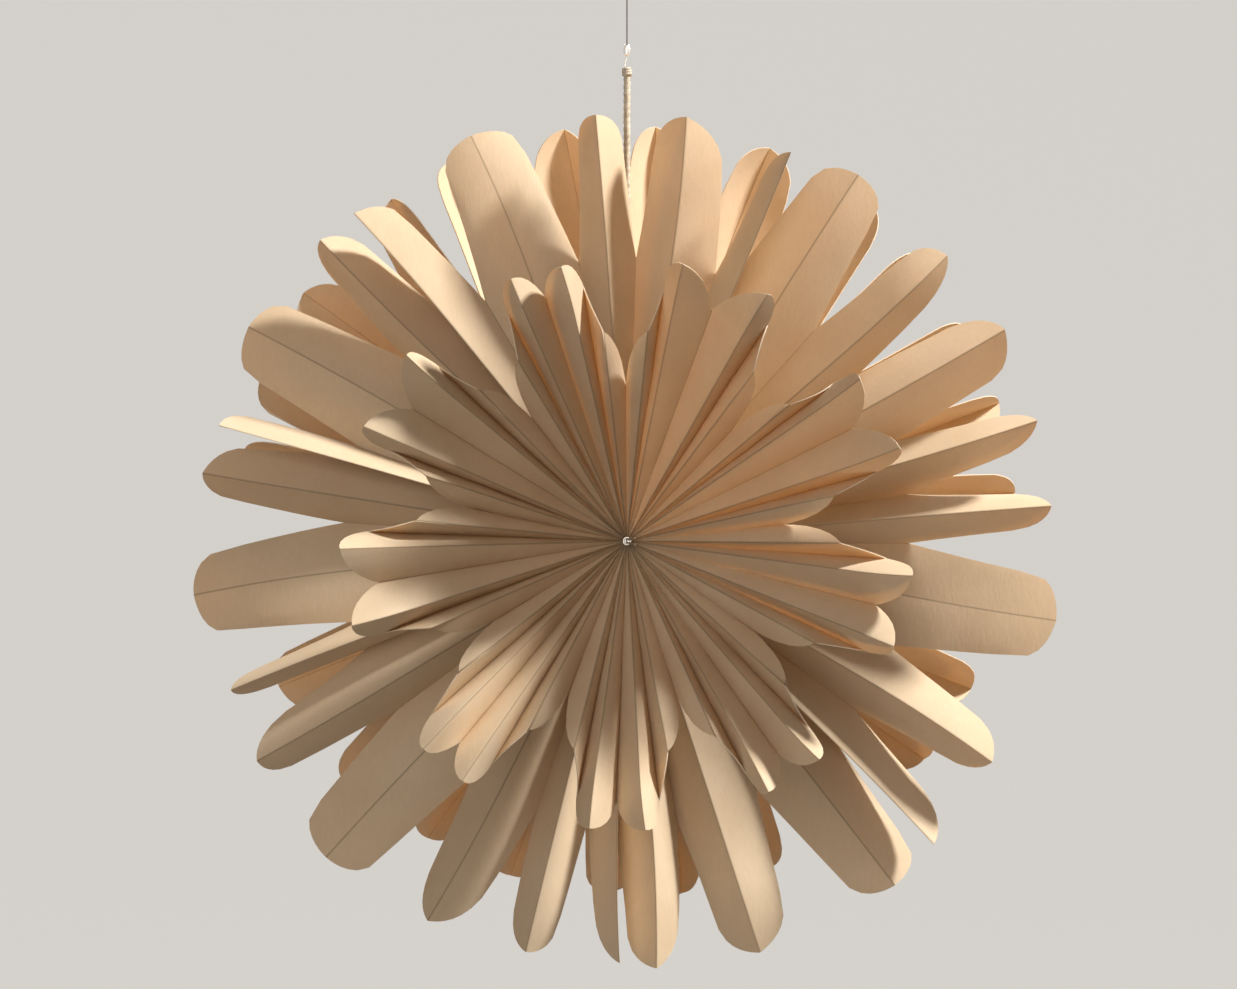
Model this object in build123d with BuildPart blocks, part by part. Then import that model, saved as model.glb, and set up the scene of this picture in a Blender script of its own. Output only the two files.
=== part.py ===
from build123d import *
from collections import namedtuple
from math import asin, cos, hypot, radians, sin, sqrt, tan
import os

# Hanging ball of folded paper, in millimetres, +Z up, front towards -Y.
# The origin is inside the top of the thread's loop, where the ornament is hung up.
# Each sheet is an accordion-folded strip with its ends cut to petals. It is tied at its
# middle and fanned out to a full turn, so all its folds run out from one point.

# Lengths down the line, from the hanging point to the ball
LOOP_HEIGHT = 8.0
LOOP_KNOT_LENGTH = 1.6
THREAD_LENGTH = 31.0
BEAD_LENGTH = 3.8
HOOK_HEIGHT = 3.6
END_KNOT_LENGTH = 3.6
CORD_LENGTH = 153.5
CENTRE_KNOT_HEIGHT = 2.9

# Cord and its two knots
CORD_DIAMETER = 2.4
END_KNOT_DIAMETER = 3.4
CENTRE_KNOT_DIAMETER = 6.4
KNOT_SHOULDER = 0.3     # share of a knot's length that each of its tapers takes

# Thread and its loop
THREAD_DIAMETER = 0.4
LOOP_KNOT_DIAMETER = 1.5
LOOP_WIDTH = 5.2
LOOP_CROWN_WIDTH = 2.6
LOOP_CROWN_HEIGHT = 1.5
LOOP_SIDE_HEIGHT = 1.7
LOOP_FOOT = 0.3         # from the middle of the knot to each strand of the loop
LOOP_FOOT_HEIGHT = 0.6

# Bead and hook between thread and cord
BEAD_DIAMETER = 2.4
BEAD_END_DIAMETER = 1.2
HOOK_WIRE = 0.5
HOOK_SWAY = 0.7
HOOK_UPPER_BEND = 0.25  # places of the hook's two bends, as shares of its height
HOOK_LOWER_BEND = 0.7

# Binding wire
BINDING_WIRE = 0.8
STRAND_OFFSET = 0.5
WIRE_END_LENGTH = 6.0
WIRE_END_ANGLE = 62.0
WIRE_END_SPREAD = 0.6
SEAT_GAP = 0.3

# Paper
PAPER = 0.9             # through the paper, measured along Y
FOLD_LENGTH = 148.5     # half of a 297 mm strip, from the tie to a petal's tip

# Outer sheets: a petal is one ridge with a panel on each side of it
PETAL_PANEL_ANGLE = 10.4
PETAL_VALLEY_LENGTH = 95.0
PETAL_SIDE_WIDTH = 15.5
PETAL_TIP_LENGTH = 10.0
REAR_OUTER_TILT = 25.0
REAR_OUTER_DROOP = 9.0

# Inner sheets: nine lobes of eight narrow panels, with a deep notch between two lobes
LOBE_PANEL_ANGLE = 6.5
INNER_TILT = 52.5
NOTCH_LENGTH = 74.0
SHOULDER_LENGTH = 113.0
LOBE_VALLEY_LENGTH = 122.0
LOBE_EDGE_BULGE = 0.12
REAR_LOBE_SHIFT = 20

# Ridges of the front petals: direction in degrees from +X towards +Z, and tilt forward.
# A low ridge between two high ones opens a wide flat petal, a high one closes a narrow one.
FRONT_PETALS = (
    (171, 15), (164, 19), (150, 10), (136, 15), (129, 18), (110, 10), (94, 16), (81, 15), (67, 19),
    (58, 12), (41, 15), (29, 14), (16, 17), (5, 18), (-11, 10), (-30, 17), (-44, 16), (-52, 12),
    (-72, 15), (-85, 17), (-92, 20), (-104, 20), (-117, 17), (-134, 10), (-149, 15), (-160, 19), (-174, 10),
)
# Directions of the rear petals' ridges
REAR_PETALS = (
    167, 156, 142, 125, 116, 98, 85, 71, 53, 44, 31, 20, 8,
    -8, -24, -37, -51, -66, -80, -92, -109, -123, -140, -157, -175,
)
# For each lobe, the notch before it and the ridges of its two tips
LOBES = (
    (167, 156, 140), (128, 114, 103), (90, 79, 61), (46, 35, 19), (7, -7, -21),
    (-35, -49, -60), (-71, -87, -98), (-111, -125, -135), (-150, -163, -179),
)

# Heights worked out down the line
LOOP_KNOT_TOP = -LOOP_HEIGHT
THREAD_TOP = LOOP_KNOT_TOP - LOOP_KNOT_LENGTH
BEAD_TOP = THREAD_TOP - THREAD_LENGTH
HOOK_TOP = BEAD_TOP - BEAD_LENGTH
END_KNOT_TOP = HOOK_TOP - HOOK_HEIGHT
CORD_TOP = END_KNOT_TOP - END_KNOT_LENGTH
CENTRE_KNOT_TOP = CORD_TOP - CORD_LENGTH
BALL_MIDDLE = CENTRE_KNOT_TOP - CENTRE_KNOT_HEIGHT

# The folds start round the two strands of the binding wire, and the sheets of
# the front half and the rear half leave room for the cord's knot between them
HUB_RADIUS = STRAND_OFFSET + BINDING_WIRE / 2 + SEAT_GAP
CENTRE_KNOT_WIDTH = CORD_DIAMETER + SEAT_GAP
OUTER_APEX = CENTRE_KNOT_WIDTH / 2 + SEAT_GAP + PAPER
INNER_APEX = OUTER_APEX + 2 * SEAT_GAP
FRONT = -1
REAR = 1

Fold = namedtuple("Fold", "azimuth tilt length")


def turn_between(fold, following):
    """Degrees from one fold to the next, going round clockwise as seen from the front."""
    return (fold - following) % 360


def zigzag(ridges, valley_lengths, panel_angle):
    """Pair each ridge with the valley after it, one panel's width away from both ridges.

    Azimuth and tilt are treated as the two axes of a plane. The valley lies below the
    middle of the line between the two ridges and square to it, so where their tilts
    differ it moves under the higher ridge.
    """
    folds = []
    for ridge, following, length in zip(ridges, ridges[1:] + ridges[:1], valley_lengths):
        turn = turn_between(ridge.azimuth, following.azimuth)
        rise = following.tilt - ridge.tilt
        tilt = (ridge.tilt + following.tilt) / 2
        level = cos(radians(tilt))
        apart = hypot(turn * level, rise)
        drop = sqrt(max(panel_angle**2 - (apart / 2) ** 2, 0)) / apart
        folds.append(ridge)
        folds.append(Fold(ridge.azimuth - turn / 2 - drop * rise / level, tilt - drop * turn * level, length))
    return folds


def direction(fold, side):
    """Unit vector along a fold, tilted out of the ball's middle plane towards its side."""
    level = cos(radians(fold.tilt))
    return Vector(
        level * cos(radians(fold.azimuth)),
        side * sin(radians(fold.tilt)),
        level * sin(radians(fold.azimuth)),
    )


def petal_edge(tip, valley_end):
    """Cut edge of a petal's panel: half of a round end, then the side down to the valley."""
    radius = (PETAL_TIP_LENGTH**2 + PETAL_SIDE_WIDTH**2) / (2 * PETAL_TIP_LENGTH)
    half_turn = asin(PETAL_SIDE_WIDTH / radius) / 2
    on_round = (tip.X - radius * (1 - cos(half_turn)), radius * sin(half_turn))
    shoulder = (tip.X - PETAL_TIP_LENGTH, PETAL_SIDE_WIDTH)
    ThreePointArc(tip, on_round, shoulder)
    Line(shoulder, valley_end)


def lobe_edge(tip, valley_end):
    """Cut edge of a lobe's panel: two straight cuts that stand out from ridge to valley."""
    chord = valley_end - tip
    bulge = Vector(abs(chord.Y), abs(chord.X)) * LOBE_EDGE_BULGE
    Polyline(tip, tip + chord / 2 + bulge, valley_end)


def fold_panels(folds, apex, side, cut_edge):
    """Fold one sheet: a flat panel between each two neighbouring folds."""
    for index, fold in enumerate(folds):
        neighbour = folds[(index + 1) % len(folds)]
        ridge, valley = (fold, neighbour) if index % 2 == 0 else (neighbour, fold)
        along_ridge = direction(ridge, side)
        along_valley = direction(valley, side)
        panel_angle = along_ridge.get_angle(along_valley)
        panel_plane = Plane(
            origin=(0, side * apex, BALL_MIDDLE),
            x_dir=along_ridge,
            z_dir=along_ridge.cross(along_valley),
        )
        ridge_start = Vector(HUB_RADIUS / cos(radians(ridge.tilt)), 0)
        valley_start = Vector(HUB_RADIUS / cos(radians(valley.tilt)), 0).rotate(Axis.Z, panel_angle)
        tip = Vector(ridge.length, 0)
        valley_end = Vector(valley.length, 0).rotate(Axis.Z, panel_angle)
        with BuildSketch(panel_plane) as panel:
            with BuildLine():
                Line(ridge_start, tip)
                cut_edge(tip, valley_end)
                Line(valley_end, valley_start)
                Line(valley_start, ridge_start)
            make_face()
        extrude(panel.sketch, amount=PAPER, dir=(0, -side, 0))


def lobed_ridges(shift):
    """Ridges of an inner sheet: each lobe has a shoulder, two tips and a shoulder."""
    ridges = []
    for lobe, following in zip(LOBES, LOBES[1:] + LOBES[:1]):
        notch, first_tip, second_tip = lobe
        first_shoulder = notch - turn_between(notch, first_tip) / 2
        second_shoulder = second_tip - turn_between(second_tip, following[0]) / 2
        ridges.append(Fold(first_shoulder - shift, INNER_TILT, SHOULDER_LENGTH))
        ridges.append(Fold(first_tip - shift, INNER_TILT, FOLD_LENGTH))
        ridges.append(Fold(second_tip - shift, INNER_TILT, FOLD_LENGTH))
        ridges.append(Fold(second_shoulder - shift, INNER_TILT, SHOULDER_LENGTH))
    return ridges


os.makedirs("parts", exist_ok=True)

# Outer sheets
front_ridges = [Fold(azimuth, tilt, FOLD_LENGTH) for azimuth, tilt in FRONT_PETALS]
rear_ridges = [
    Fold(azimuth, REAR_OUTER_TILT - REAR_OUTER_DROOP * sin(radians(azimuth)), FOLD_LENGTH)
    for azimuth in REAR_PETALS
]
front_valleys = [PETAL_VALLEY_LENGTH] * len(FRONT_PETALS)
rear_valleys = [PETAL_VALLEY_LENGTH] * len(REAR_PETALS)
lobe_valleys = [LOBE_VALLEY_LENGTH, LOBE_VALLEY_LENGTH, LOBE_VALLEY_LENGTH, NOTCH_LENGTH] * len(LOBES)

with BuildPart() as front_outer_sheet:
    fold_panels(zigzag(front_ridges, front_valleys, PETAL_PANEL_ANGLE), OUTER_APEX, FRONT, petal_edge)
front_outer_sheet.part.label = "front_outer_sheet"
export_step(front_outer_sheet.part, "parts/front_outer_sheet.step")

with BuildPart() as rear_outer_sheet:
    fold_panels(zigzag(rear_ridges, rear_valleys, PETAL_PANEL_ANGLE), OUTER_APEX, REAR, petal_edge)
rear_outer_sheet.part.label = "rear_outer_sheet"
export_step(rear_outer_sheet.part, "parts/rear_outer_sheet.step")

# Inner sheets
with BuildPart() as front_inner_sheet:
    fold_panels(zigzag(lobed_ridges(0), lobe_valleys, LOBE_PANEL_ANGLE), INNER_APEX, FRONT, lobe_edge)
front_inner_sheet.part.label = "front_inner_sheet"
export_step(front_inner_sheet.part, "parts/front_inner_sheet.step")

with BuildPart() as rear_inner_sheet:
    fold_panels(
        zigzag(lobed_ridges(REAR_LOBE_SHIFT), lobe_valleys, LOBE_PANEL_ANGLE), INNER_APEX, REAR, lobe_edge
    )
rear_inner_sheet.part.label = "rear_inner_sheet"
export_step(rear_inner_sheet.part, "parts/rear_inner_sheet.step")

# Binding wire: one wire goes back through the sheets' middles and forward again, and
# its two ends are wrapped at the front and bent out
wrap_radius = STRAND_OFFSET + 1.5 * BINDING_WIRE
hub_front = INNER_APEX + wrap_radius * tan(radians(INNER_TILT))
wrap_back = -hub_front - SEAT_GAP
wrap_front = wrap_back - BINDING_WIRE
turn_back = hub_front + SEAT_GAP + BINDING_WIRE / 2
end_reach = WIRE_END_LENGTH * cos(radians(WIRE_END_ANGLE))
end_rise = WIRE_END_LENGTH * sin(radians(WIRE_END_ANGLE))
with BuildPart() as binding_wire:
    with BuildLine(Plane.XY.offset(BALL_MIDDLE)) as strand_route:
        Polyline(
            (end_reach, wrap_front - end_rise, STRAND_OFFSET + WIRE_END_SPREAD),
            (0, wrap_front, STRAND_OFFSET),
            (0, turn_back, STRAND_OFFSET),
            (0, turn_back, -STRAND_OFFSET),
            (0, wrap_front, -STRAND_OFFSET),
            (end_reach, wrap_front - end_rise, -STRAND_OFFSET - WIRE_END_SPREAD),
        )
    with BuildSketch(Plane(strand_route.line @ 0, z_dir=strand_route.line % 0)):
        Circle(BINDING_WIRE / 2)
    sweep(transition=Transition.RIGHT)
    with BuildSketch(Plane.XZ.offset(-wrap_back)):
        with Locations((0, BALL_MIDDLE)):
            Circle(wrap_radius)
    extrude(amount=BINDING_WIRE)
binding_wire.part.label = "binding_wire"
export_step(binding_wire.part, "parts/binding_wire.step")

# Cord's knot round the wire, pressed flat between the two halves of the ball
with BuildPart() as centre_knot:
    with Locations(Location((0, 0, BALL_MIDDLE), (90, 0, 0))):
        Cylinder(CENTRE_KNOT_DIAMETER / 2, CENTRE_KNOT_WIDTH)
        Cylinder(HUB_RADIUS, CENTRE_KNOT_WIDTH, mode=Mode.SUBTRACT)
    with Locations((0, 0, BALL_MIDDLE)):
        Box(CENTRE_KNOT_DIAMETER, CENTRE_KNOT_WIDTH, 2 * CENTRE_KNOT_HEIGHT, mode=Mode.INTERSECT)
centre_knot.part.label = "centre_knot"
export_step(centre_knot.part, "parts/centre_knot.step")


def hanging_rod(diameter, top, length):
    """Straight round length of cord or thread, hanging down from this height."""
    with BuildPart() as rod:
        with BuildSketch(Plane.XY.offset(top)):
            Circle(diameter / 2)
        extrude(amount=-length)
    return rod.part


def turned_knot(middle_diameter, end_diameter, top, length):
    """Barrel-shaped knot or bead with a taper and a flat at each end."""
    shoulder = KNOT_SHOULDER * length
    with BuildPart() as knot:
        with BuildSketch(Plane.XZ):
            with BuildLine():
                Polyline(
                    (0, top),
                    (end_diameter / 2, top),
                    (middle_diameter / 2, top - shoulder),
                    (middle_diameter / 2, top - length + shoulder),
                    (end_diameter / 2, top - length),
                    (0, top - length),
                    close=True,
                )
            make_face()
        revolve(axis=Axis.Z)
    return knot.part


# Cord, thread and what joins them
hanging_cord = hanging_rod(CORD_DIAMETER, CORD_TOP, CORD_LENGTH)
hanging_cord.label = "hanging_cord"
export_step(hanging_cord, "parts/hanging_cord.step")

hanging_thread = hanging_rod(THREAD_DIAMETER, THREAD_TOP, THREAD_LENGTH)
hanging_thread.label = "hanging_thread"
export_step(hanging_thread, "parts/hanging_thread.step")

cord_end_knot = turned_knot(END_KNOT_DIAMETER, CORD_DIAMETER, END_KNOT_TOP, END_KNOT_LENGTH)
cord_end_knot.label = "cord_end_knot"
export_step(cord_end_knot, "parts/cord_end_knot.step")

swivel_bead = turned_knot(BEAD_DIAMETER, BEAD_END_DIAMETER, BEAD_TOP, BEAD_LENGTH)
swivel_bead.label = "swivel_bead"
export_step(swivel_bead, "parts/swivel_bead.step")

loop_knot = turned_knot(LOOP_KNOT_DIAMETER, 2 * LOOP_FOOT + THREAD_DIAMETER, LOOP_KNOT_TOP, LOOP_KNOT_LENGTH)
loop_knot.label = "loop_knot"
export_step(loop_knot, "parts/loop_knot.step")

with BuildPart() as wire_hook:
    with BuildLine(Plane.XZ) as hook_route:
        Polyline(
            (0, HOOK_TOP),
            (0, HOOK_TOP - HOOK_UPPER_BEND * HOOK_HEIGHT),
            (-HOOK_SWAY, HOOK_TOP - HOOK_LOWER_BEND * HOOK_HEIGHT),
            (-HOOK_SWAY, END_KNOT_TOP),
        )
    with BuildSketch(Plane.XY.offset(HOOK_TOP)):
        Circle(HOOK_WIRE / 2)
    sweep(transition=Transition.RIGHT)
wire_hook.part.label = "wire_hook"
export_step(wire_hook.part, "parts/wire_hook.step")

loop_top = THREAD_DIAMETER / 2
with BuildPart() as thread_loop:
    with BuildLine(Plane.XZ) as loop_route:
        Polyline(
            (-LOOP_FOOT, LOOP_KNOT_TOP),
            (-LOOP_FOOT, LOOP_KNOT_TOP + LOOP_FOOT_HEIGHT),
            (-LOOP_WIDTH / 2, loop_top - LOOP_CROWN_HEIGHT - LOOP_SIDE_HEIGHT),
            (-LOOP_WIDTH / 2, loop_top - LOOP_CROWN_HEIGHT),
            (-LOOP_CROWN_WIDTH / 2, loop_top),
            (LOOP_CROWN_WIDTH / 2, loop_top),
            (LOOP_WIDTH / 2, loop_top - LOOP_CROWN_HEIGHT),
            (LOOP_WIDTH / 2, loop_top - LOOP_CROWN_HEIGHT - LOOP_SIDE_HEIGHT),
            (LOOP_FOOT, LOOP_KNOT_TOP + LOOP_FOOT_HEIGHT),
            (LOOP_FOOT, LOOP_KNOT_TOP),
        )
    with BuildSketch(Plane(loop_route.line @ 0, z_dir=loop_route.line % 0)):
        Circle(THREAD_DIAMETER / 2)
    sweep(transition=Transition.RIGHT)
thread_loop.part.label = "thread_loop"
export_step(thread_loop.part, "parts/thread_loop.step")
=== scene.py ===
from collections import namedtuple
from math import asin, atan2, cos, hypot, pi, radians, sin, sqrt, tan

import bpy
import numpy as np
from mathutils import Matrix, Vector


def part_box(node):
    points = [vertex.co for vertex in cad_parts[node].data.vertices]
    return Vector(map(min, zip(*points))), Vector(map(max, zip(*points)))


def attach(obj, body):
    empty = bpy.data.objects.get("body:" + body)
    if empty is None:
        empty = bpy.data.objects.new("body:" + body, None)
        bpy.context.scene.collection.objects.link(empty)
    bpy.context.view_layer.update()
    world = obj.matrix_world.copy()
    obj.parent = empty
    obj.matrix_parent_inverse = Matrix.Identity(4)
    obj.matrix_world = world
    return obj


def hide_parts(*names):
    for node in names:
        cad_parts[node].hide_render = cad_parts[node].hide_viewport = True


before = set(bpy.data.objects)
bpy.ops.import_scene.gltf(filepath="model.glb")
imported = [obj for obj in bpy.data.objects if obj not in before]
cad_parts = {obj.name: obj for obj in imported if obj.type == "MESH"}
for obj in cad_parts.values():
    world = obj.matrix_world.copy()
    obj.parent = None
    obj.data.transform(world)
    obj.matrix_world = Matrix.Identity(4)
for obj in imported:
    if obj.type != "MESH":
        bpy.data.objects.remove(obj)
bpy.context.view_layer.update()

FRONT = -1
REAR = 1
SEED = 11

# Folded sheets, in metres and degrees, as the part has them. A fold's azimuth is its angle up from
# the right, seen from the front, and its tilt is how far it leans out of the ball's middle plane.
FOLD_LENGTH = 0.1485
HUB_RADIUS = 0.0012             # hole for the tie
PETAL_PANEL_ANGLE = 10.4
PETAL_VALLEY_LENGTH = 0.095
REAR_OUTER_TILT = 25.0
REAR_OUTER_DROOP = 9.0          # taken off that tilt at the top, and added to it at the bottom
LOBE_PANEL_ANGLE = 6.5
INNER_TILT = 52.5
NOTCH_LENGTH = 0.074
SHOULDER_LENGTH = 0.113
LOBE_VALLEY_LENGTH = 0.122
LOBE_EDGE_BULGE = 0.12          # of the edge's own width
REAR_LOBE_SHIFT = 20
FRONT_PETALS = (                # azimuth and tilt of each petal's ridge
    (171, 15), (164, 19), (150, 10), (136, 15), (129, 18), (110, 10), (94, 16), (81, 15), (67, 19),
    (58, 12), (41, 15), (29, 14), (16, 17), (5, 18), (-11, 10), (-30, 17), (-44, 16), (-52, 12),
    (-72, 15), (-85, 17), (-92, 20), (-104, 20), (-117, 17), (-134, 10), (-149, 15), (-160, 19),
    (-174, 10),
)
REAR_PETALS = (                 # azimuth of each petal's ridge
    167, 156, 142, 125, 116, 98, 85, 71, 53, 44, 31, 20, 8,
    -8, -24, -37, -51, -66, -80, -92, -109, -123, -140, -157, -175,
)
LOBES = (                       # azimuths of the notch before each lobe and of its two tips
    (167, 156, 140), (128, 114, 103), (90, 79, 61), (46, 35, 19), (7, -7, -21),
    (-35, -49, -60), (-71, -87, -98), (-111, -125, -135), (-150, -163, -179),
)

# How the real paper differs from flat panels
PAPER_THICKNESS = 0.00035
SQUEEZED_WITHIN = 0.03          # nearer the tie than this, the paper is drawn thinner
LEAST_THICKNESS = 0.06          # share of the thickness that is left at the tie
PANEL_BOW = (0.0001, 0.0011)    # how far a panel bows out between its two folds
BOW_GROWTH = 1.6                # a fold's length over the length in which the bow grows to full
WAVE_HEIGHT = 0.00022
WAVE_COUNTS = (1.5, 2.5, 4.0)   # waves along a panel
WAVE_SKEW = 2.0                 # radians from a panel's ridge to its valley, either way
PETAL_CURL = (0.001, 0.008)     # how far a petal's tip leans back
PETAL_TWIST = 0.003             # how far a tip leans sideways, either way
LOBE_CURL = (0.0005, 0.003)
LOBE_TWIST = 0.001
SIDE_ROLL = (-0.001, 0.007)     # how far the free side of a petal's panel rolls back
END_CURL = (0.0, 0.0065)        # how far the last of a petal or lobe curls back, at its fold
END_CURL_LENGTH = 0.024
END_CURL_SPREAD = 0.7           # share by which it curls back more at the valley
TIP_MARGIN = 0.0014             # keeps a leaning tip within the solid's reach

# A petal's cut end, drawn panel by panel
WIDE_TILT = 12                  # petals this flat are the wide ones, with blunt ends
WIDE_TIP_CUT = (0.0085, 0.0115) # length of the end
TIP_CUT = (0.013, 0.026)
WIDE_POINT = (0.0, 0.15)        # how pointed the end is, from 0 for an oval
POINT = (0.2, 1.0)
SIDE_CUT = (0.0125, 0.0155)     # half width of the petal where the end starts

# Points of a mesh, and the bend in degrees from which its edges look sharp
OUTER_GRID = (17, 40)           # across and along a panel
INNER_GRID = (9, 40)
ROW_SPACING = 0.8               # below 1, the points stand closer towards the tip
PAPER_SHARP_BEND = 40
ROUND_SHARP_BEND = 50
COIL_STEPS = 28                 # in a turn
CORD_SIDES = 36
WIRE_SIDES = 16
BEAD_STEPS, BEAD_SIDES = 24, 32
KNOT_SIDES, KNOT_CORE_SIDES = 14, 20

# Cord and thread, in metres, as the part has them
THREAD_DIAMETER = 0.0004
THREAD_STEPS = 40

# Cord's three strands, its knot and its loose fibres
CORD_STRAND = 0.00066           # radius of a strand
CORD_STRAND_OFFSET = 0.00054    # of its middle from the cord's
CORD_PITCH = 0.0072
CORD_STEP = 0.0004
KNOT_STRAND = 0.00062
KNOT_TURNS = 2.9
KNOT_CORE_INSET = 1.3           # in strands, from the knot's outside
THREAD_KNOT_TURNS = 3.4
FIBRE_COUNT = 420
FIBRE_RADIUS = 0.000022
FIBRE_LENGTH = (0.0005, 0.0017)
FIBRE_LEAN = (-0.8, 0.8)        # round the cord, as a share of the fibre's length
FIBRE_RISE = (-0.6, 0.9)        # along the cord
FIBRE_BEND = 1.6                # above 1, a fibre bends away from straight out
FIBRE_POINTS = (0.0, 0.4, 0.7, 1.0)
FUZZY_LENGTH = 0.060            # of the cord, from its upper end

# Hook and bead above the cord
HOOK_WIRE = 0.0005
HOOK_BENDS = (0.25, 0.7)        # shares of the hook's height, down from its top
BEAD_END = 0.5                  # radius of the bead's ends, as a share of its largest

# Thread's loop
LOOP_FOOT = 0.0003              # half the gap between the two strands at the knot
LOOP_FOOT_HEIGHT = 0.0006
LOOP_SIDE = (0.0032, 0.0010)    # lower and upper end of its straight side, down from its top
LOOP_CROWN = 0.6                # width of its flat top, as a share of its width

# Binding wire
BINDING_WIRE = 0.0008
STRAND_OFFSET = 0.0005          # of a strand's middle from the ball's middle line
WRAP_DEPTH = 0.0056             # from the wire's front back to the wrap
STRAIGHT_LENGTH = 0.002         # of the strands, behind the start of the wrap
TIE_END_OFFSET = 0.0011         # of an end's tip, up or down
TIE_COIL_RADIUS = 0.00125
TIE_COIL_START = 0.0001         # behind the start of the wrap
TIE_COIL_LENGTH = 0.0006
TIE_COIL_TURNS = 1.5
TIE_COIL_WIRE = 0.4             # radius of the coil's wire, as a share of the wire's width
TIE_COIL_SIDES = 12

# Where the ball and its sheets stand
knot_low, knot_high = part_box("centre_knot")
BALL_MIDDLE = (knot_low.z + knot_high.z) / 2
OUTER_APEX = 0.0021             # middle of the paper at the tie, from the ball's middle plane:
INNER_APEX = 0.0027             # the part's own values, less half the thickness of its sheets

# Colours as light and dark pairs, and the colour and share of the light that comes through paper
IVORY = (0.85, 0.70, 0.49), (0.78, 0.62, 0.41)
IVORY_GLOW = (0.93, 0.61, 0.29)
IVORY_TRANSLUCENCY = 0.26
CUT_EDGE = (0.93, 0.82, 0.64), (0.88, 0.75, 0.56)
CUT_EDGE_GLOW = (0.93, 0.70, 0.40)
CUT_EDGE_TRANSLUCENCY = 0.3
COTTON = (0.72, 0.62, 0.47), (0.50, 0.40, 0.28)
DARK_COTTON = (0.12, 0.075, 0.045), (0.07, 0.045, 0.03)
PLATED = (0.95, 0.92, 0.86), (0.84, 0.79, 0.71)
PLATED_ROUGHNESS = 0.40
TIE_METAL = (0.93, 0.88, 0.78), (0.80, 0.74, 0.63)
TIE_ROUGHNESS = 0.42

# Paper's grain, and painted shade along its folds
PAPER_CLOUDS = 38.0             # noise scale, per metre
PAPER_FIBRES = (900.0, 900.0, 260.0)
CREASE_WIDTH = 0.00045
CREASE_STRENGTH = 0.75
CREASE_SHADE = 0.42             # painted shade in a fold's crease, as a share of the paper's dark colour

# Stage: one sweep of floor and wall, in metres
FLOOR_DROP = 0.42               # below the ball's middle
FLOOR_FRONT = -5.0
WALL_PLACE = 5.0
WALL_RISE = 5.0
SWEEP_RADIUS = 2.0
SWEEP_STEPS = 16
HALF_WIDTH = 6.0
STAGE_COLOUR = (0.12, 0.116, 0.11)

# Light: what the camera sees of the backdrop, and what the world gives to the ball
WALL_COLOUR = (1.0, 0.96, 0.905)
SEEN_BRIGHTNESS = 0.62
WORLD_BRIGHTNESS = 0.12
LAMPS = (                       # name, place from the ball's middle, size and watts
    ("key", (1.15, -0.25, 1.25), 0.24, 53.0),
    ("front", (-0.5, -2.0, 0.3), 1.2, 13.0),
    ("behind", (0.1, 1.2, 0.45), 0.5, 24.0),
)

# Camera, read from where the ball stands in the photograph
PHOTO_WIDTH, PHOTO_HEIGHT = 1237, 989
BALL_MIDDLE_PIXEL = (627, 541)
METRES_PER_PIXEL = 0.0003375
CAMERA_DISTANCE = 2.2
SENSOR_WIDTH = 36.0
CLIP_END = 50.0

# Sockets of a Mix node that blends colours
MIX_A, MIX_B, MIX_RESULT = 6, 7, 2

# Sheet: reach gives a panel's length at an angle, curl and twist are ranges for the lean of its
# petals or lobes, and curl_from is the share of a fold's length from which they lean.
# Panel: cut holds the length, half width and point of the petal's end.
Fold = namedtuple("Fold", "azimuth tilt length")
Sheet = namedtuple("Sheet", "apex side panel_angle reach across along curl twist curl_from")
Petal = namedtuple("Petal", "curl twist end_curl")
Panel = namedtuple("Panel", "waves bow roll cut")


# Node materials

def new_material(name):
    """An empty node material and its tree."""
    material = bpy.data.materials.new(name)
    material.use_nodes = True
    tree = material.node_tree
    tree.nodes.clear()
    return material, tree


def add_node(tree, kind, inputs=(), **settings):
    """A node with its settings, and each input given as a value or an output socket."""
    node = tree.nodes.new("ShaderNode" + kind)
    for key, value in settings.items():
        setattr(node, key, value)
    for key, value in dict(inputs).items():
        if isinstance(value, bpy.types.NodeSocket):
            tree.links.new(value, node.inputs[key])
        else:
            node.inputs[key].default_value = value
    return node


def add_noise(tree, place, scale, detail, roughness=0.5):
    """Value of a noise texture."""
    inputs = {"Vector": place, "Scale": scale, "Detail": detail, "Roughness": roughness}
    return add_node(tree, "TexNoise", inputs).outputs["Fac"]


def map_range(tree, value, from_range, to_range, **settings):
    """A value brought from one range to another."""
    inputs = {
        "Value": value, "From Min": from_range[0], "From Max": from_range[1],
        "To Min": to_range[0], "To Max": to_range[1],
    }
    return add_node(tree, "MapRange", inputs, **settings).outputs[0]


def add_math(tree, operation, first, second, clamp=False):
    """Result of a sum or difference."""
    inputs = {0: first, 1: second}
    return add_node(tree, "Math", inputs, operation=operation, use_clamp=clamp).outputs[0]


def add_bump(tree, height, strength, distance):
    """Normal of a fine relief."""
    inputs = {"Height": height, "Strength": strength, "Distance": distance}
    return add_node(tree, "Bump", inputs).outputs[0]


def colour_ramp(tree, factor, *stops):
    """Colour between two stops, each a (place, colour) pair."""
    ramp = add_node(tree, "ValToRGB", {"Fac": factor})
    for element, (place, colour) in zip(ramp.color_ramp.elements, stops):
        element.position = place
        element.color = (*colour, 1.0)
    return ramp.outputs["Color"]


def set_surface(tree, shader):
    """Make a shader the surface of the material."""
    add_node(tree, "OutputMaterial", {"Surface": shader.outputs[0]})


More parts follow.
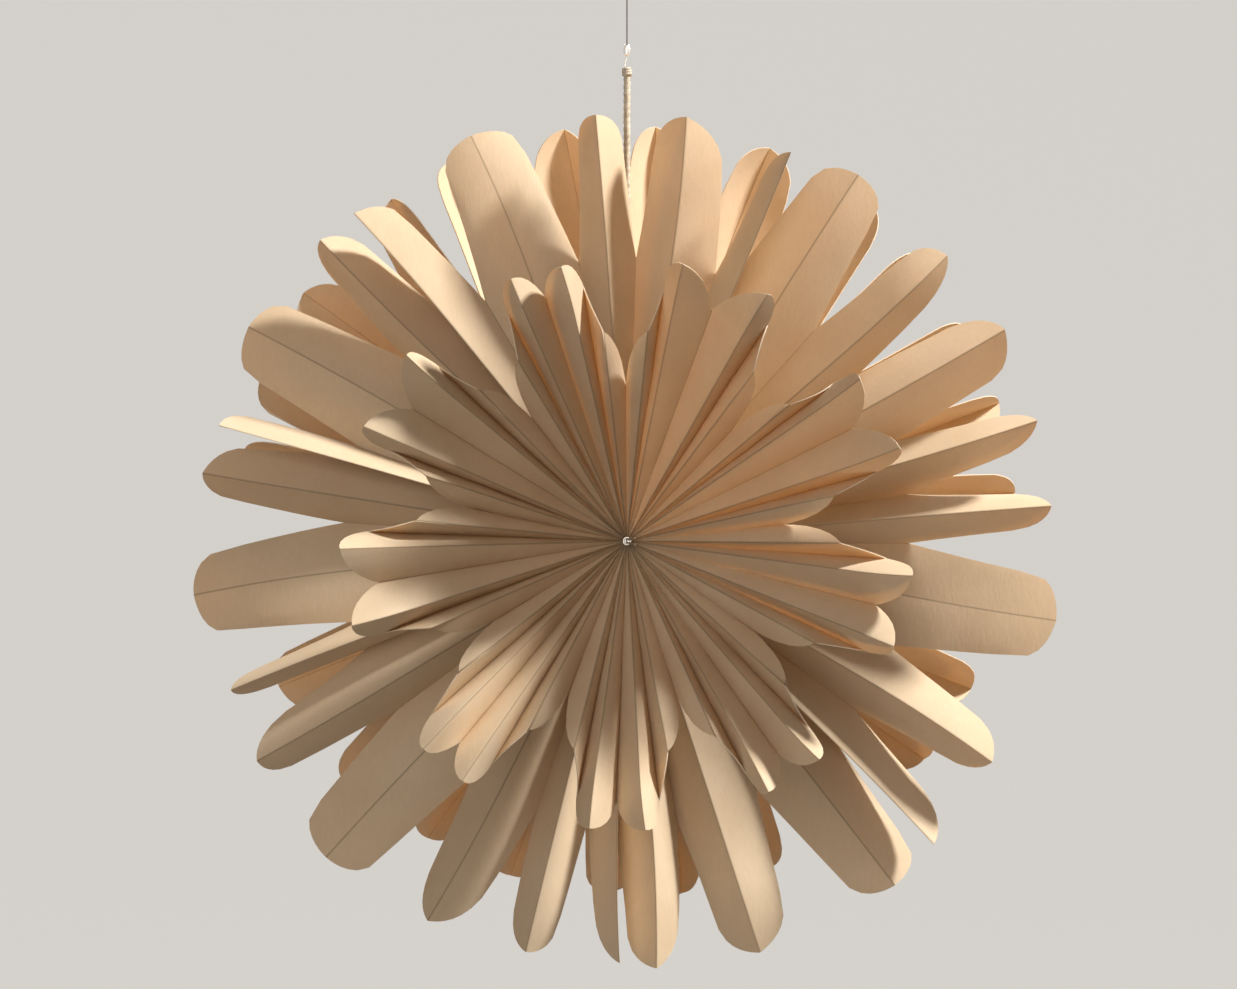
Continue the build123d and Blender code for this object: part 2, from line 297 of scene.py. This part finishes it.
def paper_material(name, light, dark, glow, translucency):
    """Uncoated paper: cloudy pulp, fine fibres, thin lines of painted shade along the folds and
    warm light through it.
    """
    material, tree = new_material(name)
    place = add_node(tree, "TexCoord").outputs["Object"]
    clouds = add_noise(tree, place, scale=PAPER_CLOUDS, detail=5.0, roughness=0.6)
    stretched = add_node(tree, "Mapping", {"Vector": place, "Scale": PAPER_FIBRES})
    fibres = add_noise(tree, stretched.outputs[0], scale=1.0, detail=4.0, roughness=0.7)
    base = colour_ramp(tree, clouds, (0.3, dark), (0.72, light))
    fleck = map_range(tree, fibres, (0.25, 0.75), (0.95, 1.04))
    speckled = add_node(tree, "VectorMath", {0: base, "Scale": fleck}, operation="SCALE")
    # Painted shade: within CREASE_WIDTH of each fold, the colour darkens towards a share of the
    # dark colour
    from_fold = add_node(tree, "Attribute", attribute_name="from_fold").outputs["Fac"]
    crease = map_range(
        tree, from_fold, (0.0, CREASE_WIDTH), (CREASE_STRENGTH, 0.0),
        interpolation_type="SMOOTHSTEP",
    )
    painted_crease_shade = (*[CREASE_SHADE * part for part in dark], 1.0)
    crease_shaded = add_node(
        tree, "Mix", {"Factor": crease, MIX_A: speckled.outputs[0], MIX_B: painted_crease_shade},
        data_type="RGBA",
    )
    relief = add_math(tree, "ADD", fibres, clouds)
    bump = add_bump(tree, relief, strength=0.2, distance=0.0004)
    reflecting = add_node(
        tree, "BsdfPrincipled",
        {"Base Color": crease_shaded.outputs[MIX_RESULT], "Roughness": 0.78,
         "Specular IOR Level": 0.25, "Normal": bump},
    )
    through = add_node(tree, "BsdfTranslucent", {"Color": (*glow, 1.0), "Normal": bump})
    both = {0: translucency, 1: reflecting.outputs[0], 2: through.outputs[0]}
    set_surface(tree, add_node(tree, "MixShader", both))
    return material


def cotton_material(name, light, dark):
    """Cotton yarn: soft, slightly uneven in colour, with fine fibres across."""
    material, tree = new_material(name)
    place = add_node(tree, "TexCoord").outputs["Object"]
    tone = add_noise(tree, place, scale=320.0, detail=4.0, roughness=0.65)
    fibre = add_noise(tree, place, scale=2600.0, detail=3.0, roughness=0.7)
    base = colour_ramp(tree, tone, (0.32, dark), (0.68, light))
    bump = add_bump(tree, fibre, strength=0.5, distance=0.0002)
    set_surface(tree, add_node(
        tree, "BsdfPrincipled",
        {"Base Color": base, "Roughness": 0.92, "Specular IOR Level": 0.2, "Sheen Weight": 0.4,
         "Sheen Roughness": 0.5, "Normal": bump},
    ))
    return material


def metal_material(name, light, dark, roughness):
    """Small drawn or plated metal: slightly cloudy colour and fine drawing marks."""
    material, tree = new_material(name)
    place = add_node(tree, "TexCoord").outputs["Object"]
    clouds = add_noise(tree, place, scale=500.0, detail=3.0)
    marks = add_noise(tree, place, scale=2500.0, detail=2.0)
    base = colour_ramp(tree, clouds, (0.35, dark), (0.65, light))
    rough = map_range(tree, marks, (0.3, 0.7), (roughness * 0.7, roughness * 1.3))
    bump = add_bump(tree, marks, strength=0.15, distance=0.0001)
    set_surface(tree, add_node(
        tree, "BsdfPrincipled",
        {"Base Color": base, "Metallic": 1.0, "Roughness": rough, "Normal": bump},
    ))
    return material


def seen_by_rays(tree):
    """1 for what the camera sees, straight, in metal or through glass, and 0 for other light."""
    rays = add_node(tree, "LightPath").outputs
    through = add_math(
        tree, "SUBTRACT", rays["Is Transmission Ray"], rays["Is Diffuse Ray"], clamp=True
    )
    mirrored = add_math(tree, "ADD", rays["Is Camera Ray"], rays["Is Glossy Ray"], clamp=True)
    return add_math(tree, "ADD", mirrored, through, clamp=True)


def backdrop_material(name, colour, brightness):
    """Matt stage surface that also shows the wall's colour to the camera."""
    material, tree = new_material(name)
    shader = add_node(
        tree, "BsdfPrincipled", {"Base Color": (*colour, 1.0), "Roughness": 0.9}
    )
    strength = map_range(tree, seen_by_rays(tree), (0.0, 1.0), (0.0, brightness))
    glow = add_node(tree, "Emission", {"Color": (*WALL_COLOUR, 1.0), "Strength": strength})
    both = {0: shader.outputs[0], 1: glow.outputs[0]}
    set_surface(tree, add_node(tree, "AddShader", both))
    return material


# Folded sheets

def turn_between(fold, following):
    """Degrees from one azimuth to the next, clockwise as seen from the front."""
    return (fold - following) % 360


def zigzag(ridges, valley_lengths, panel_angle):
    """Pair each ridge with the valley after it, one panel's angle away from both ridges."""
    folds = []
    for ridge, following, length in zip(ridges, ridges[1:] + ridges[:1], valley_lengths):
        turn = turn_between(ridge.azimuth, following.azimuth)
        rise = following.tilt - ridge.tilt
        tilt = (ridge.tilt + following.tilt) / 2
        level = cos(radians(tilt))
        apart = hypot(turn * level, rise)
        drop = sqrt(max(panel_angle**2 - (apart / 2) ** 2, 0)) / apart
        azimuth = ridge.azimuth - turn / 2 - drop * rise / level
        folds.append(ridge)
        folds.append(Fold(azimuth, tilt - drop * turn * level, length))
    return folds


def direction(azimuth, tilt, side):
    """Unit vector from the tie, tilted out of the ball's middle plane towards its side."""
    level = cos(radians(tilt))
    return np.array([
        level * cos(radians(azimuth)), side * sin(radians(tilt)), level * sin(radians(azimuth)),
    ])


def petal_reach(angle, panel_angle, ridge_length, valley_length, tip, half_width, point):
    """Length of a petal's panel at this angle from its ridge: half a pointed oval, then the side.

    The oval's middle lies beyond the ridge, the further the more pointed the end is.
    """
    shoulder_x = ridge_length - tip
    if shoulder_x * tan(angle) <= half_width:
        beyond = point * half_width
        wide = half_width + beyond
        long = tip / sqrt(1 - (beyond / wide) ** 2)
        curve = (cos(angle) / long) ** 2 + (sin(angle) / wide) ** 2
        along = shoulder_x * cos(angle) / long**2 - beyond * sin(angle) / wide**2
        rest = (shoulder_x / long) ** 2 + (beyond / wide) ** 2 - 1
        return (along + sqrt(max(along**2 - curve * rest, 0.0))) / curve
    valley_x = valley_length * cos(panel_angle)
    valley_y = valley_length * sin(panel_angle)
    run = (valley_y - half_width) / (valley_x - shoulder_x)
    return (half_width - run * shoulder_x) / (tan(angle) - run) / cos(angle)


def lobe_reach(angle, panel_angle, ridge_length, valley_length, *_):
    """Length of a lobe's panel at this angle from its ridge: a shallow bow across.

    It is called as petal_reach is, but a lobe makes no use of the values of a petal's end.
    """
    share = angle / panel_angle
    straight = ridge_length + (valley_length - ridge_length) * share
    chord = hypot(
        ridge_length - valley_length * cos(panel_angle), valley_length * sin(panel_angle)
    )
    return straight + 4 * share * (1 - share) * chord * LOBE_EDGE_BULGE


def draw_panel(chance, ridge, is_petal):
    """The random values of one panel. A lobe's panel draws the values of a petal's end too."""
    waves = [
        (WAVE_HEIGHT / count, count, chance.uniform(0, 2 * pi),
         chance.uniform(-WAVE_SKEW, WAVE_SKEW))
        for count in WAVE_COUNTS
    ]
    bow = chance.uniform(*PANEL_BOW)
    roll = chance.uniform(*SIDE_ROLL) if is_petal else 0.0
    is_wide = ridge.tilt <= WIDE_TILT
    tip = chance.uniform(*(WIDE_TIP_CUT if is_wide else TIP_CUT))
    half_width = chance.uniform(*SIDE_CUT)
    point = chance.uniform(*(WIDE_POINT if is_wide else POINT))
    return Panel(waves, bow, roll, (tip, half_width, point))


def panel_grid(ridge, valley, plan, petal, panel):
    """Points of one panel from ridge to valley, and their distances from the nearer fold."""
    to_ridge = direction(ridge.azimuth, ridge.tilt, plan.side)
    to_valley = direction(valley.azimuth, valley.tilt, plan.side)
    panel_angle = float(np.arccos(np.clip(to_ridge @ to_valley, -1, 1)))
    out = np.cross(to_ridge, to_valley)
    out /= np.linalg.norm(out)
    if out[1] * plan.side < 0:
        out = -out
    end_curl = 0.0 if ridge.length < valley.length else petal.end_curl
    rows = (np.arange(plan.along) / (plan.along - 1)) ** ROW_SPACING
    points = np.zeros((plan.across, plan.along, 3))
    from_fold = np.zeros((plan.across, plan.along))
    for i in range(plan.across):
        share = (1 - cos(pi * i / (plan.across - 1))) / 2
        angle = share * panel_angle
        ray = (sin(panel_angle - angle) * to_ridge + sin(angle) * to_valley) / sin(panel_angle)
        length = plan.reach(angle, panel_angle, ridge.length, valley.length, *panel.cut)
        start = HUB_RADIUS / hypot(ray[0], ray[2])
        distance = (start + (length - start) * rows)[:, None]
        out_share = distance / FOLD_LENGTH

        wave = sum(
            height * np.sin(count * out_share * 2 * pi + phase + share * skew)
            for height, count, phase, skew in panel.waves
        )
        bowed = sin(pi * share) * np.minimum(1.0, out_share * BOW_GROWTH) * (panel.bow + wave)
        past_valley = np.maximum(0.0, distance / valley.length - 1)
        rolled = panel.roll * share**2 * past_valley / (ridge.length / valley.length - 1)

        azimuth = atan2(ray[2], ray[0])
        tilt = asin(ray[1] * plan.side)
        lean_back = np.array([
            sin(tilt) * cos(azimuth), -plan.side * cos(tilt), sin(tilt) * sin(azimuth),
        ])
        sideways = np.array([sin(azimuth), 0.0, -cos(azimuth)])
        leaning = lean_back * petal.curl + sideways * petal.twist
        free = np.maximum(0.0, (out_share - plan.curl_from) / (1 - plan.curl_from)) ** 2
        end_share = np.maximum(0.0, 1 - (ridge.length - distance) / END_CURL_LENGTH)
        curled = end_curl * (1 + END_CURL_SPREAD * share) * end_share**2

        points[i] = ray * distance + out * (bowed - rolled) + leaning * free
        points[i] += np.array([0.0, -plan.side, 0.0]) * curled
        from_fold[i] = distance[:, 0] * min(angle, panel_angle - angle)
    return points, from_fold


def fan_rays(folds, plan):
    """Rows of points from the tie out, round the fan: points, distances from a fold, is a fold."""
    chance = np.random.RandomState(SEED + len(folds) + plan.side)
    petals = [
        Petal(
            chance.uniform(*plan.curl), chance.uniform(-plan.twist, plan.twist),
            chance.uniform(*END_CURL),
        )
        for _ in range(len(folds) // 2)
    ]
    rays = []
    for index, fold in enumerate(folds):
        neighbour = folds[(index + 1) % len(folds)]
        ridge, valley = (fold, neighbour) if index % 2 == 0 else (neighbour, fold)
        petal = petals[((index + 1) // 2) % len(petals)]
        panel = draw_panel(chance, ridge, plan.reach is petal_reach)
        points, from_fold = panel_grid(ridge, valley, plan, petal, panel)
        if index % 2 == 1:
            points, from_fold = points[::-1], from_fold[::-1]
        rays.extend((points[i], from_fold[i], i == 0) for i in range(plan.across - 1))
    return rays


def fan_mesh(name, rays, plan, materials):
    """A sheet's mesh, still without thickness, with its folds marked sharp."""
    shift = np.array([0.0, plan.side * plan.apex, BALL_MIDDLE])
    vertices = (np.array([points for points, _, _ in rays]) + shift).reshape(-1, 3)
    faces, fold_edges = [], set()
    for i, (_, _, is_fold) in enumerate(rays):
        here, there = i * plan.along, ((i + 1) % len(rays)) * plan.along
        for j in range(plan.along - 1):
            corners = (here + j, there + j, there + j + 1, here + j + 1)
            faces.append(corners if plan.side == FRONT else corners[::-1])
            if is_fold:
                fold_edges.add((here + j, here + j + 1))
    mesh = bpy.data.meshes.new(name)
    mesh.from_pydata(vertices.tolist(), [], faces)
    mesh.shade_smooth()
    # distance from the nearer fold, which the paper's painted crease shade reads
    distances = mesh.attributes.new("from_fold", "FLOAT", "POINT")
    distances.data.foreach_set("value", np.array([near for _, near, _ in rays]).ravel())
    for edge in mesh.edges:
        edge.use_edge_sharp = tuple(sorted(edge.vertices)) in fold_edges
    for material in materials:
        mesh.materials.append(material)
    return mesh


def thicken(sheet, shares):
    """Give each point of a sheet its share of the paper's thickness, with sharp cut edges."""
    group = sheet.vertex_groups.new(name="thickness")
    for index, share in enumerate(shares.tolist()):
        group.add([index], share, "REPLACE")
    solid = sheet.modifiers.new("paper", "SOLIDIFY")
    solid.thickness = PAPER_THICKNESS
    solid.offset = 0.0
    solid.vertex_group = group.name
    solid.material_offset_rim = 1
    depsgraph = bpy.context.evaluated_depsgraph_get()
    thick = bpy.data.meshes.new_from_object(sheet.evaluated_get(depsgraph))
    folded = [edge.use_edge_sharp for edge in thick.edges]
    thick.set_sharp_from_angle(angle=radians(PAPER_SHARP_BEND))
    for edge, is_fold in zip(thick.edges, folded):
        edge.use_edge_sharp = edge.use_edge_sharp or is_fold
    sheet.modifiers.clear()
    sheet.data = thick


def folded_sheet(name, folds, plan, materials):
    """One sheet of paper, fanned to a full turn."""
    rays = fan_rays(folds, plan)
    from_tie = np.linalg.norm(np.array([points for points, _, _ in rays]), axis=2)
    sheet = bpy.data.objects.new(name, fan_mesh(name, rays, plan, materials))
    bpy.context.collection.objects.link(sheet)
    thicken(sheet, np.clip(from_tie / SQUEEZED_WITHIN, LEAST_THICKNESS, 1.0).ravel())
    return sheet


def lobed_ridges(shift):
    """Ridges of an inner sheet: each lobe has a shoulder, two tips and a shoulder."""
    ridges = []
    for lobe, following in zip(LOBES, LOBES[1:] + LOBES[:1]):
        notch, first_tip, second_tip = lobe
        first_shoulder = notch - turn_between(notch, first_tip) / 2
        second_shoulder = second_tip - turn_between(second_tip, following[0]) / 2
        ridges.append(Fold(first_shoulder - shift, INNER_TILT, SHOULDER_LENGTH))
        ridges.append(Fold(first_tip - shift, INNER_TILT, FOLD_LENGTH))
        ridges.append(Fold(second_tip - shift, INNER_TILT, FOLD_LENGTH))
        ridges.append(Fold(second_shoulder - shift, INNER_TILT, SHOULDER_LENGTH))
    return ridges


def outer_plan(side):
    """How an outer sheet is laid out on one side of the ball."""
    return Sheet(
        OUTER_APEX, side, PETAL_PANEL_ANGLE, petal_reach, *OUTER_GRID, PETAL_CURL, PETAL_TWIST,
        PETAL_VALLEY_LENGTH / FOLD_LENGTH,
    )


def inner_plan(side):
    """How an inner sheet is laid out on one side of the ball."""
    return Sheet(
        INNER_APEX, side, LOBE_PANEL_ANGLE, lobe_reach, *INNER_GRID, LOBE_CURL, LOBE_TWIST,
        LOBE_VALLEY_LENGTH / FOLD_LENGTH,
    )


def build_sheets():
    """All four sheets, each in the place of its plain solid."""
    paper = paper_material("ivory_paper", *IVORY, IVORY_GLOW, IVORY_TRANSLUCENCY)
    cut = paper_material("paper_cut_edge", *CUT_EDGE, CUT_EDGE_GLOW, CUT_EDGE_TRANSLUCENCY)
    reach = FOLD_LENGTH - TIP_MARGIN
    front = [Fold(azimuth, tilt, reach) for azimuth, tilt in FRONT_PETALS]
    rear = [
        Fold(azimuth, REAR_OUTER_TILT - REAR_OUTER_DROOP * sin(radians(azimuth)), reach)
        for azimuth in REAR_PETALS
    ]
    lobe_valleys = ([LOBE_VALLEY_LENGTH] * 3 + [NOTCH_LENGTH]) * len(LOBES)
    layouts = (
        ("front_outer", front, [PETAL_VALLEY_LENGTH] * len(front), outer_plan(FRONT)),
        ("rear_outer", rear, [PETAL_VALLEY_LENGTH] * len(rear), outer_plan(REAR)),
        ("front_inner", lobed_ridges(0), lobe_valleys, inner_plan(FRONT)),
        ("rear_inner", lobed_ridges(REAR_LOBE_SHIFT), lobe_valleys, inner_plan(REAR)),
    )
    for name, ridges, valleys, plan in layouts:
        folds = zigzag(ridges, valleys, plan.panel_angle)
        sheet = folded_sheet(name + "_paper", folds, plan, (paper, cut))
        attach(sheet, "root")
        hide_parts(name + "_sheet")


# Cord, thread, knots and wire

def rounded(points, rounds=3):
    """A polyline with its corners cut a quarter of the way until they are round; its ends stay."""
    points = [np.array(p, float) for p in points]
    for _ in range(rounds):
        cut = [points[0]]
        for a, b in zip(points, points[1:]):
            cut += [a * 0.75 + b * 0.25, a * 0.25 + b * 0.75]
        points = cut + [points[-1]]
    return points


def tube_mesh(route, outline):
    """Vertices and faces of a closed tube along a route.

    outline gives the (angle, radius) pairs of the ring at a distance from the route's start.
    """
    route = [np.array(p, float) for p in route]
    last = len(route) - 1
    tangents = [route[min(i + 1, last)] - route[max(i - 1, 0)] for i in range(len(route))]
    tangents = [t / np.linalg.norm(t) for t in tangents]
    first = np.cross(tangents[0], [0.3, 1.0, 0.2])  # no route starts along this
    first /= np.linalg.norm(first)
    vertices, faces, distance = [], [], 0.0
    for i, (point, tangent) in enumerate(zip(route, tangents)):
        if i:
            distance += float(np.linalg.norm(point - route[i - 1]))
            first = first - tangent * (first @ tangent)
            first /= np.linalg.norm(first)
        second = np.cross(tangent, first)
        for angle, radius in outline(distance):
            corner = point + (first * cos(angle) + second * sin(angle)) * radius
            vertices.append(corner.tolist())
    sides = len(vertices) // len(route)
    for i in range(last):
        for k in range(sides):
            a, b = i * sides + k, i * sides + (k + 1) % sides
            faces.append((a, b, b + sides, a + sides))
    faces.append(tuple(range(sides))[::-1])
    faces.append(tuple(range(len(vertices) - sides, len(vertices))))
    return vertices, faces


def circle(radius, sides):
    """The (angle, radius) pairs of a round ring."""
    return [(2 * pi * k / sides, radius) for k in range(sides)]


def round_wire(radius, sides=WIRE_SIDES):
    """Outline of a plain round wire."""
    return lambda distance: circle(radius, sides)


def twisted_cord(distance):
    """Outline of a cord laid from three strands that turn with the distance."""
    outline = []
    for k in range(CORD_SIDES):
        angle = 2 * pi * k / CORD_SIDES
        around = (angle - 2 * pi * distance / CORD_PITCH) % (2 * pi / 3) - pi / 3
        inner = CORD_STRAND_OFFSET * cos(around)
        depth = (CORD_STRAND_OFFSET * sin(around)) ** 2
        outline.append((angle, inner + sqrt(CORD_STRAND**2 - depth)))
    return outline


def loose_fibres(low, high):
    """Short bent fibres that stand off the cord between two heights."""
    chance = np.random.RandomState(SEED)
    up = np.array([0.0, 0.0, 1.0])
    parts = []
    for _ in range(FIBRE_COUNT):
        around = chance.uniform(0, 2 * pi)
        out = np.array([cos(around), sin(around), 0.0])
        side = np.array([-sin(around), cos(around), 0.0])
        root = out * CORD_STRAND + up * chance.uniform(low, high)
        length = chance.uniform(*FIBRE_LENGTH)
        lean, rise = chance.uniform(*FIBRE_LEAN), chance.uniform(*FIBRE_RISE)
        route = [
            root + length * (out * share + (side * lean + up * rise) * share**FIBRE_BEND)
            for share in FIBRE_POINTS
        ]
        parts.append(tube_mesh(route, round_wire(FIBRE_RADIUS, 3)))
    return parts


def add_piece(name, parts, material, node):
    """One object from (vertices, faces) parts, in the place of a CAD node."""
    vertices, faces = [], []
    for part_vertices, part_faces in parts:
        start = len(vertices)
        vertices += part_vertices
        faces += [tuple(start + corner for corner in face) for face in part_faces]
    mesh = bpy.data.meshes.new(name)
    mesh.from_pydata(vertices, [], faces)
    mesh.shade_smooth()
    mesh.set_sharp_from_angle(angle=radians(ROUND_SHARP_BEND))
    mesh.materials.append(material)
    piece = bpy.data.objects.new(name, mesh)
    bpy.context.collection.objects.link(piece)
    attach(piece, "root")
    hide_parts(node)
    return piece


def coil_route(radius, low, high, turns):
    """Points of a coil round the vertical line through the origin."""
    count = int(turns * COIL_STEPS)
    route = []
    for i in range(count + 1):
        angle = 2 * pi * i / COIL_STEPS
        route.append((radius * cos(angle), radius * sin(angle), low + (high - low) * i / count))
    return route


def wound_knot(name, node, strand, material, turns):
    """A knot of yarn wound round itself, as large as its plain solid."""
    low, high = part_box(node)
    radius = (high.x - low.x) / 2
    coil = coil_route(radius - strand, low.z + strand, high.z - strand, turns)
    core = [(0.0, 0.0, low.z), (0.0, 0.0, high.z)]
    parts = [
        tube_mesh(coil, round_wire(strand, KNOT_SIDES)),
        tube_mesh(core, round_wire(radius - KNOT_CORE_INSET * strand, KNOT_CORE_SIDES)),
    ]
    return add_piece(name, parts, material, node)


def oval_piece(name, node, end_share, material):
    """A smooth oval bead, as large as its plain solid."""
    low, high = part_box(node)
    radius = (high.x - low.x) / 2
    route, radii = [], []
    for i in range(BEAD_STEPS + 1):
        share = i / BEAD_STEPS
        swell = sqrt(max(0.0, 1 - (2 * share - 1) ** 2))
        route.append((0.0, 0.0, low.z + (high.z - low.z) * share))
        radii.append(radius * (end_share + (1 - end_share) * swell))
    rings = iter(radii)     # tube_mesh asks for one outline a point, in order
    bead = tube_mesh(route, lambda distance: circle(next(rings), BEAD_SIDES))
    return add_piece(name, [bead], material, node)


def build_cord():
    """Cord with its knots, and the hook and bead above it, each in the place of its solid."""
    bright = metal_material("plated_metal", *PLATED, PLATED_ROUGHNESS)
    cotton = cotton_material("cotton_yarn", *COTTON)

    cord_low, cord_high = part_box("hanging_cord")
    cord_length = cord_high.z - cord_low.z
    rings = int(cord_length / CORD_STEP)
    cord_path = [(0.0, 0.0, cord_low.z + cord_length * i / rings) for i in range(rings + 1)]
    cord_parts = [tube_mesh(cord_path, twisted_cord)]
    cord = add_piece("cotton_cord", cord_parts, cotton, "hanging_cord")
    fibres = loose_fibres(cord_high.z - FUZZY_LENGTH, cord_high.z)
    fuzz = add_piece("cord_fibres", fibres, cotton, "hanging_cord")
    end_knot = wound_knot(
        "cord_end_turns", "cord_end_knot", KNOT_STRAND, cotton, KNOT_TURNS
    )
    bead = oval_piece("oval_bead", "swivel_bead", BEAD_END, bright)

    hook_low, hook_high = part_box("wire_hook")
    sway = -(hook_high.x - hook_low.x - HOOK_WIRE)
    drop = hook_high.z - hook_low.z
    hook_route = rounded([
        (0.0, 0.0, hook_high.z),
        (0.0, 0.0, hook_high.z - HOOK_BENDS[0] * drop),
        (sway, 0.0, hook_high.z - HOOK_BENDS[1] * drop),
        (sway, 0.0, hook_low.z),
    ])
    hook_parts = [tube_mesh(hook_route, round_wire(HOOK_WIRE / 2))]
    hook = add_piece("bent_hook", hook_parts, bright, "wire_hook")
    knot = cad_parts["centre_knot"]
    knot.data.materials.clear()
    knot.data.materials.append(cotton)


def build_thread():
    """Thread with its knot and its loop, each in the place of its solid."""
    dark = cotton_material("dark_thread", *DARK_COTTON)
    strand = round_wire(THREAD_DIAMETER / 2)

    thread_low, thread_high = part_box("hanging_thread")
    thread_length = thread_high.z - thread_low.z
    thread_path = [
        (0.0, 0.0, thread_low.z + thread_length * i / THREAD_STEPS)
        for i in range(THREAD_STEPS + 1)
    ]
    thread_parts = [tube_mesh(thread_path, strand)]
    thread = add_piece("dark_hanging_thread", thread_parts, dark, "hanging_thread")
    loop_knot = wound_knot(
        "thread_turns", "loop_knot", THREAD_DIAMETER / 2, dark, THREAD_KNOT_TURNS
    )

    loop_low, loop_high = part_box("thread_loop")
    side = (loop_high.x - loop_low.x - THREAD_DIAMETER) / 2
    foot = loop_low.z + LOOP_FOOT_HEIGHT
    top = loop_high.z - THREAD_DIAMETER / 2
    loop_route = rounded([
        (-LOOP_FOOT, 0.0, loop_low.z),
        (-LOOP_FOOT, 0.0, foot),
        (-side, 0.0, top - LOOP_SIDE[0]),
        (-side, 0.0, top - LOOP_SIDE[1]),
        (-side * LOOP_CROWN, 0.0, top),
        (side * LOOP_CROWN, 0.0, top),
        (side, 0.0, top - LOOP_SIDE[1]),
        (side, 0.0, top - LOOP_SIDE[0]),
        (LOOP_FOOT, 0.0, foot),
        (LOOP_FOOT, 0.0, loop_low.z),
    ])
    loop_parts = [tube_mesh(loop_route, strand)]
    loop = add_piece("thread_hanging_loop", loop_parts, dark, "thread_loop")


def build_tie():
    """Binding wire through the middle of the ball, with its coil and its two bright ends."""
    metal = metal_material("tie_wire", *TIE_METAL, TIE_ROUGHNESS)
    wire_low, wire_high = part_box("binding_wire")
    reach = wire_high.x - BINDING_WIRE / 2
    back = wire_high.y - BINDING_WIRE / 2
    wrap = wire_low.y + WRAP_DEPTH
    front = wire_low.y + BINDING_WIRE / 2
    ends = rounded([
        (reach, front, BALL_MIDDLE + TIE_END_OFFSET),
        (0.0, wrap, BALL_MIDDLE + STRAND_OFFSET),
        (0.0, wrap + STRAIGHT_LENGTH, BALL_MIDDLE + STRAND_OFFSET),
        (0.0, back, BALL_MIDDLE + STRAND_OFFSET),
        (0.0, back, BALL_MIDDLE - STRAND_OFFSET),
        (0.0, wrap + STRAIGHT_LENGTH, BALL_MIDDLE - STRAND_OFFSET),
        (0.0, wrap, BALL_MIDDLE - STRAND_OFFSET),
        (reach, front, BALL_MIDDLE - TIE_END_OFFSET),
    ], 2)
    coil = coil_route(TIE_COIL_RADIUS, 0.0, TIE_COIL_LENGTH, TIE_COIL_TURNS)
    turns = [(x, wrap + TIE_COIL_START + along, BALL_MIDDLE + up) for x, up, along in coil]
    parts = [
        tube_mesh(ends, round_wire(BINDING_WIRE / 2)),
        tube_mesh(turns, round_wire(TIE_COIL_WIRE * BINDING_WIRE, TIE_COIL_SIDES)),
    ]
    add_piece("twisted_tie", parts, metal, "binding_wire")


# Stage, light and camera

def build_stage():
    """Pale floor and wall in one sweep, well clear of the ball."""
    floor = BALL_MIDDLE - FLOOR_DROP
    sweep_start = WALL_PLACE - SWEEP_RADIUS
    profile = [(FLOOR_FRONT, floor), (sweep_start, floor)]
    for step in range(1, SWEEP_STEPS + 1):
        angle = pi / 2 * step / SWEEP_STEPS
        profile.append((
            sweep_start + SWEEP_RADIUS * sin(angle), floor + SWEEP_RADIUS * (1 - cos(angle)),
        ))
    profile.append((WALL_PLACE, floor + WALL_RISE))
    vertices = [(x, y, z) for y, z in profile for x in (-HALF_WIDTH, HALF_WIDTH)]
    faces = [(2 * i, 2 * i + 1, 2 * i + 3, 2 * i + 2) for i in range(len(profile) - 1)]
    mesh = bpy.data.meshes.new("backdrop")
    mesh.from_pydata(vertices, [], faces)
    mesh.shade_smooth()
    mesh.materials.append(backdrop_material("pale_backdrop", STAGE_COLOUR, SEEN_BRIGHTNESS))
    backdrop = bpy.data.objects.new("backdrop", mesh)
    bpy.context.collection.objects.link(backdrop)


def add_lamp(name, place, aim, size, power):
    """A square area lamp that points at aim."""
    lamp = bpy.data.lights.new(name, "AREA")
    lamp.size = size
    lamp.energy = power
    holder = bpy.data.objects.new(name, lamp)
    bpy.context.collection.objects.link(holder)
    holder.location = place
    holder.rotation_euler = (Vector(aim) - Vector(place)).to_track_quat("-Z", "Y").to_euler()


def build_light():
    """Key from the upper right, a weak fill from in front and light through the paper."""
    for name, (x, y, z), size, power in LAMPS:
        add_lamp(name, (x, y, BALL_MIDDLE + z), (0.0, 0.0, BALL_MIDDLE), size, power)
    world = bpy.data.worlds.new("studio")
    world.use_nodes = True
    tree = world.node_tree
    background = tree.nodes["Background"]
    background.inputs["Color"].default_value = (*WALL_COLOUR, 1.0)
    strength = map_range(
        tree, seen_by_rays(tree), (0.0, 1.0), (WORLD_BRIGHTNESS, SEEN_BRIGHTNESS)
    )
    tree.links.new(strength, background.inputs["Strength"])
    bpy.context.scene.world = world
    bpy.context.scene.view_settings.view_transform = "Standard"


def build_camera():
    """Level camera straight in front, framed as the photograph is."""
    camera = bpy.data.cameras.new("camera")
    camera.sensor_width = SENSOR_WIDTH
    camera.lens = SENSOR_WIDTH * CAMERA_DISTANCE / (PHOTO_WIDTH * METRES_PER_PIXEL)
    camera.clip_end = CLIP_END
    holder = bpy.data.objects.new("camera", camera)
    bpy.context.collection.objects.link(holder)
    right = (PHOTO_WIDTH / 2 - BALL_MIDDLE_PIXEL[0]) * METRES_PER_PIXEL
    up = (BALL_MIDDLE_PIXEL[1] - PHOTO_HEIGHT / 2) * METRES_PER_PIXEL
    holder.location = (right, -CAMERA_DISTANCE, BALL_MIDDLE + up)
    holder.rotation_euler = (pi / 2, 0.0, 0.0)
    bpy.context.scene.camera = holder


build_camera()
build_sheets()
build_cord()
build_thread()
build_tie()
build_stage()
build_light()
